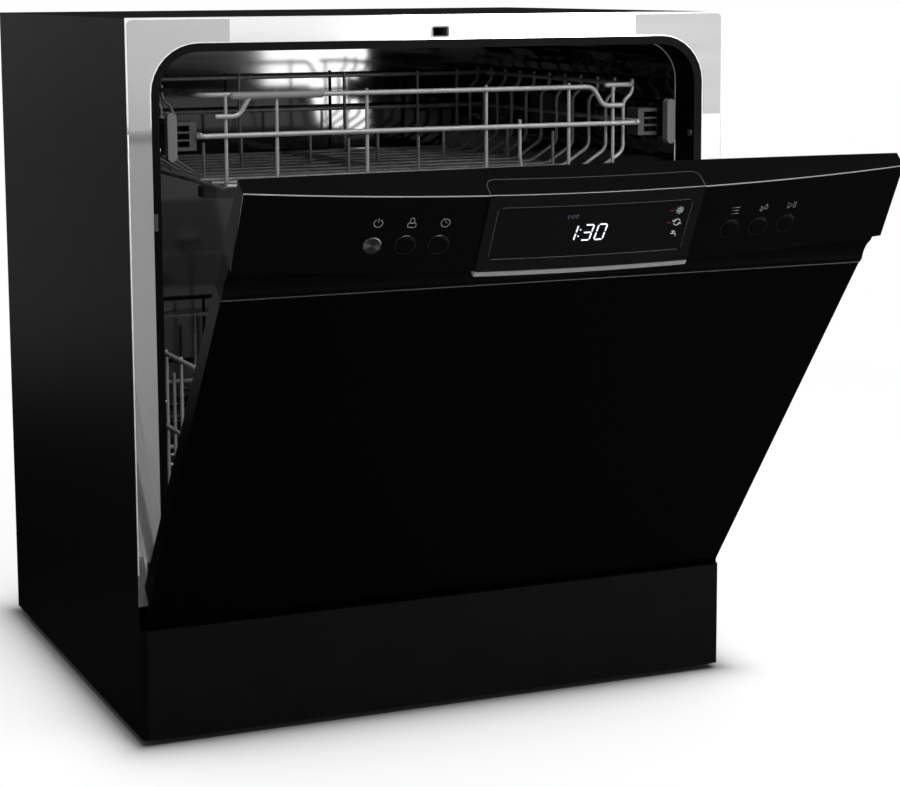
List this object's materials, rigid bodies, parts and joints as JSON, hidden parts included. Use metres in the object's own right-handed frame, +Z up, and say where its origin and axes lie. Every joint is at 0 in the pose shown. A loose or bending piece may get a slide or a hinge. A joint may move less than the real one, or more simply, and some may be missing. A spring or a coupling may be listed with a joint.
{
  "type": "countertop dishwasher",
  "caption": "Countertop dishwasher with a drop-down door, bowed control panel with push buttons and display, stainless tub, wire racks and spray arms.",
  "frame": {"origin": "on the counter, at the centre of the cabinet's footprint: midway between its side panels, and midway between the front frame and the back edge of the side panels", "axes": "+Z up; -Y towards the door; +X to the right for someone who faces the door. At rest the door stands 37 degrees open."},
  "size_m": [0.55, 0.7619, 0.606],
  "materials": {
    "black_enamel": "satin",
    "door_enamel": "gloss",
    "back_steel": "satin",
    "silver_frame": "satin",
    "stainless": "polished",
    "bracket_steel": "satin",
    "spring_steel": "satin",
    "base_plastic": "matte",
    "panel_plastic": "gloss",
    "display_glass": "gloss",
    "seal_rubber": "matte",
    "grey_plastic": "matte",
    "dark_grey_plastic": "matte",
    "white_plastic": "matte",
    "chrome_plastic": "polished",
    "trim_silver": "satin",
    "rack_wire": "satin",
    "board_green": "satin",
    "blue_plastic": "matte"
  },
  "bodies": {
    "cabinet": {"outer_wrap": "black_enamel", "rear_panel": "back_steel", "base_pan": "base_plastic", "plinth": "base_plastic", "feet": "seal_rubber", "front_frame": "silver_frame", "tub": "stainless", "door_seal": "seal_rubber", "latch_housing": "dark_grey_plastic", "hinge_brackets": "bracket_steel", "door_springs": "spring_steel", "side_rails": "stainless", "rail_end_caps": "grey_plastic", "seal_clips": "grey_plastic", "frame_screws": "bracket_steel", "sump": "white_plastic", "filter_plate": "stainless", "circulation_pump": "white_plastic", "drain_pump": "white_plastic", "water_heater": "bracket_steel", "water_softener": "white_plastic", "inlet_valve": "white_plastic", "drain_spigot": "grey_plastic", "cable_gland": "base_plastic", "feed_pipe": "grey_plastic"},
    "door": {"door_panel": "door_enamel", "door_liner": "stainless", "grip_band": "base_plastic", "control_fascia": "panel_plastic", "display_module": "panel_plastic", "display_window": "display_glass", "grip_trim": "trim_silver", "control_board": "board_green", "hinge_arms": "bracket_steel", "dispenser_body": "dark_grey_plastic", "latch_hook": "bracket_steel"},
    "detergent_lid": {"dispenser_lid": "grey_plastic"},
    "rinse_plug": {"rinse_cap": "grey_plastic"},
    "power_button": {"button_power": "chrome_plastic"},
    "lock_button": {"button_lock": "panel_plastic"},
    "delay_button": {"button_delay": "panel_plastic"},
    "program_button": {"button_program": "panel_plastic"},
    "function_button": {"button_function": "panel_plastic"},
    "start_button": {"button_start": "panel_plastic"},
    "upper_basket": {"upper_rack": "rack_wire", "roller_carriers": "grey_plastic", "upper_manifold": "grey_plastic"},
    "front_rollers": {"rollers_front": "dark_grey_plastic"},
    "rear_rollers": {"rollers_rear": "dark_grey_plastic"},
    "upper_arm": {"upper_spray_arm": "dark_grey_plastic"},
    "lower_basket": {"lower_rack": "rack_wire", "wheel_axles": "bracket_steel", "cutlery_basket": "grey_plastic"},
    "front_wheels": {"wheels_front": "grey_plastic"},
    "rear_wheels": {"wheels_rear": "grey_plastic"},
    "lower_arm": {"lower_spray_arm": "dark_grey_plastic"},
    "wash_rotor": {"circulation_rotor": "blue_plastic"},
    "drain_impeller": {"drain_rotor": "blue_plastic"},
    "salt_lid": {"salt_cap": "white_plastic"},
    "strainer_cup": {"filter_cup": "dark_grey_plastic"}
  },
  "joints": [
    {"name": "door_hinge", "type": "hinge", "parent": "cabinet", "child": "door", "pos_m": [0, -0.22, 0.133], "axis": [1, 0, 0], "range_deg": [-37, 53]},
    {"name": "basket_lower_slide", "type": "slide", "parent": "cabinet", "child": "lower_basket", "axis": [0, -1, 0], "range_m": [-0.0412, 0.059]},
    {"name": "basket_upper_slide", "type": "slide", "parent": "cabinet", "child": "upper_basket", "axis": [0, -1, 0], "range_m": [0, 0.2]},
    {"name": "wheel_front_roll", "type": "hinge", "parent": "lower_basket", "child": "front_wheels", "pos_m": [0, -0.18111, 0.1553], "axis": [1, 0, 0], "range_deg": [-169, 243]},
    {"name": "wheel_rear_roll", "type": "hinge", "parent": "lower_basket", "child": "rear_wheels", "pos_m": [0, 0.05389, 0.1553], "axis": [1, 0, 0], "range_deg": [-169, 243]},
    {"name": "roller_front_roll", "type": "hinge", "parent": "upper_basket", "child": "front_rollers", "pos_m": [0, 0.015, 0.5073], "axis": [1, 0, 0], "range_deg": [0, 882]},
    {"name": "roller_rear_roll", "type": "hinge", "parent": "upper_basket", "child": "rear_rollers", "pos_m": [0, 0.137, 0.5073], "axis": [1, 0, 0], "range_deg": [0, 882]},
    {"name": "spray_lower_spin", "type": "hinge", "parent": "cabinet", "child": "lower_arm", "pos_m": [0, -0.021, 0.158], "axis": [0, 0, 1], "continuous": true},
    {"name": "spray_upper_spin", "type": "hinge", "parent": "upper_basket", "child": "upper_arm", "pos_m": [0, -0.021, 0.444], "axis": [0, 0, 1], "continuous": true},
    {"name": "rotor_wash_spin", "type": "hinge", "parent": "cabinet", "child": "wash_rotor", "pos_m": [0.126, -0.021, 0.064], "axis": [1, 0, 0], "continuous": true},
    {"name": "rotor_drain_spin", "type": "hinge", "parent": "cabinet", "child": "drain_impeller", "pos_m": [-0.116, -0.021, 0.064], "axis": [1, 0, 0], "continuous": true},
    {"name": "salt_cap_turn", "type": "hinge", "parent": "cabinet", "child": "salt_lid", "pos_m": [-0.165, 0.113, 0.141], "axis": [0, 0, 1], "range_deg": [0, 90]},
    {"name": "strainer_cup_turn", "type": "hinge", "parent": "cabinet", "child": "strainer_cup", "pos_m": [0.037, -0.021, 0.14], "axis": [0, 0, 1], "range_deg": [0, 90]},
    {"name": "lid_hinge", "type": "hinge", "parent": "door", "child": "detergent_lid", "pos_m": [0, -0.32279, 0.27905], "axis": [-1, 0, 0], "range_deg": [0, 95]},
    {"name": "rinse_cap_turn", "type": "hinge", "parent": "door", "child": "rinse_plug", "pos_m": [0.056, -0.35441, 0.3147], "axis": [0, 0.7986, 0.6018], "range_deg": [0, 90]},
    {"name": "push_power", "type": "slide", "parent": "door", "child": "power_button", "axis": [0.0683, 0.886, 0.4587], "range_m": [0, 0.0015], "stiffness_N_per_m": 400, "springref_m": -0.002},
    {"name": "push_lock", "type": "slide", "parent": "door", "child": "lock_button", "axis": [0.0582, 0.8865, 0.4591], "range_m": [0, 0.0015], "stiffness_N_per_m": 400, "springref_m": -0.002},
    {"name": "push_delay", "type": "slide", "parent": "door", "child": "delay_button", "axis": [0.048, 0.8869, 0.4594], "range_m": [0, 0.0015], "stiffness_N_per_m": 400, "springref_m": -0.002},
    {"name": "push_program", "type": "slide", "parent": "door", "child": "program_button", "axis": [-0.048, 0.8869, 0.4594], "range_m": [0, 0.0015], "stiffness_N_per_m": 400, "springref_m": -0.002},
    {"name": "push_function", "type": "slide", "parent": "door", "child": "function_button", "axis": [-0.0582, 0.8865, 0.4591], "range_m": [0, 0.0015], "stiffness_N_per_m": 400, "springref_m": -0.002},
    {"name": "push_start", "type": "slide", "parent": "door", "child": "start_button", "axis": [-0.0683, 0.886, 0.4587], "range_m": [0, 0.0015], "stiffness_N_per_m": 400, "springref_m": -0.002}
  ],
  "couplings": [
    {"joint": "basket_lower_slide", "follows": "door_hinge", "m_per_rad": 0.063662},
    {"joint": "wheel_front_roll", "follows": "door_hinge", "ratio": 4.5473},
    {"joint": "wheel_rear_roll", "follows": "door_hinge", "ratio": 4.5473},
    {"joint": "roller_front_roll", "follows": "basket_upper_slide", "rad_per_m": 76.923},
    {"joint": "roller_rear_roll", "follows": "basket_upper_slide", "rad_per_m": 76.923}
  ]
}
